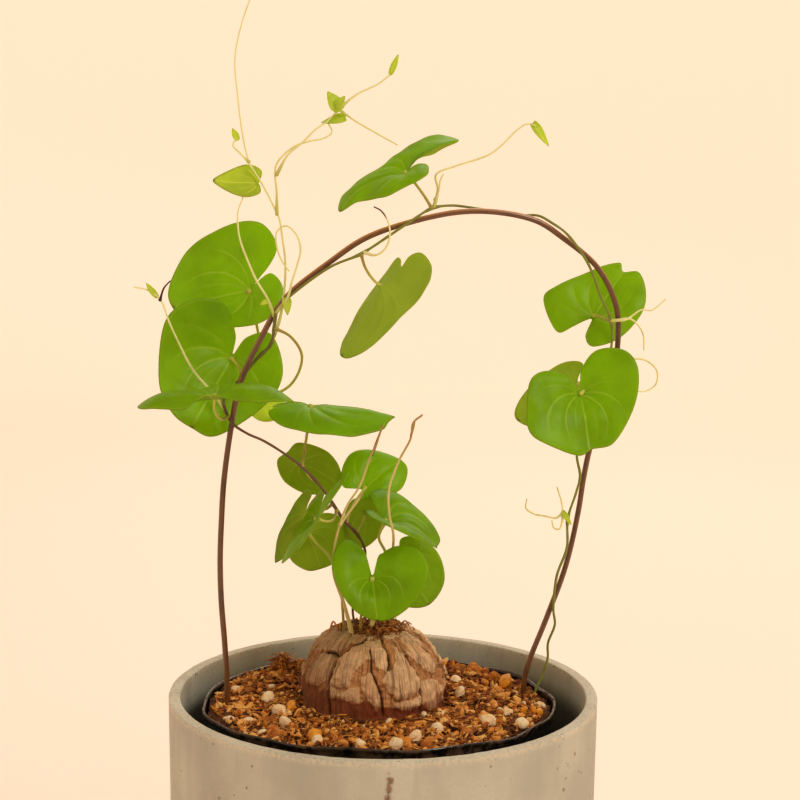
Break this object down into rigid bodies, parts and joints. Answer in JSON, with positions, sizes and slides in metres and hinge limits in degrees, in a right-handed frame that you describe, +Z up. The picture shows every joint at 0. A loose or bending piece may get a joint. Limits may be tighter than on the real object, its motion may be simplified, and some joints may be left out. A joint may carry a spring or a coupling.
{
  "type": "potted tortoise plant",
  "caption": "Caudiciform climbing plant in a black grower's pot inside a round concrete pot, its leafy vine trained on an arched wire hoop.",
  "frame": {"origin": "middle of the concrete pot's flat underside", "axes": "+Z up along the pot's axis, -Y towards the front that the picture shows, +X to its right"},
  "size_m": [0.1828, 0.15, 0.3741],
  "materials": {
    "concrete": "matte, fine pits, faint stains",
    "black_plastic": "thin glossy black plastic",
    "soil": "rough bark, coir and pumice",
    "cork": "matte cracked cork",
    "wire": "glossy brown coating",
    "stem": "satin, olive above and brown below",
    "shoot": "satin pale yellow-green",
    "dry_stem": "matte dry tan",
    "leaf": "semi-gloss, slightly translucent, paler beneath",
    "leaf_young": "semi-gloss, translucent"
  },
  "bodies": {
    "root": {"cement_pot": "concrete", "nursery_pot": "black_plastic", "soil": "soil", "caudex": "cork", "wire_hoop": "wire", "main_vine": "stem", "leaf_upper_left": "leaf", "leaf_left": "leaf", "leaf_left_front": "leaf", "leaf_inner_left": "leaf", "leaf_arch_top": "leaf", "leaf_arch_hanging": "leaf", "leaf_right_back": "leaf", "leaf_right_front": "leaf", "leaf_right_hidden": "leaf", "leaf_cluster_olive": "leaf", "leaf_cluster_green": "leaf", "leaf_cluster_left": "leaf", "leaf_cluster_front": "leaf", "leaf_cluster_back": "leaf", "leaf_cluster_middle": "leaf", "leaf_cluster_right": "leaf", "leaf_front_heart": "leaf", "leaf_heart_shadow": "leaf", "leaf_yellow": "leaf_young", "long_shoot": "shoot", "loop_shoot": "shoot", "pale_shoot": "shoot", "left_shoot": "shoot", "top_right_shoot": "shoot", "arch_tendril": "shoot", "right_upper_shoot": "shoot", "right_lower_shoot": "shoot", "low_right_shoot": "shoot", "dry_stem_left": "dry_stem", "dry_stem_right": "dry_stem"}
  },
  "joints": []
}
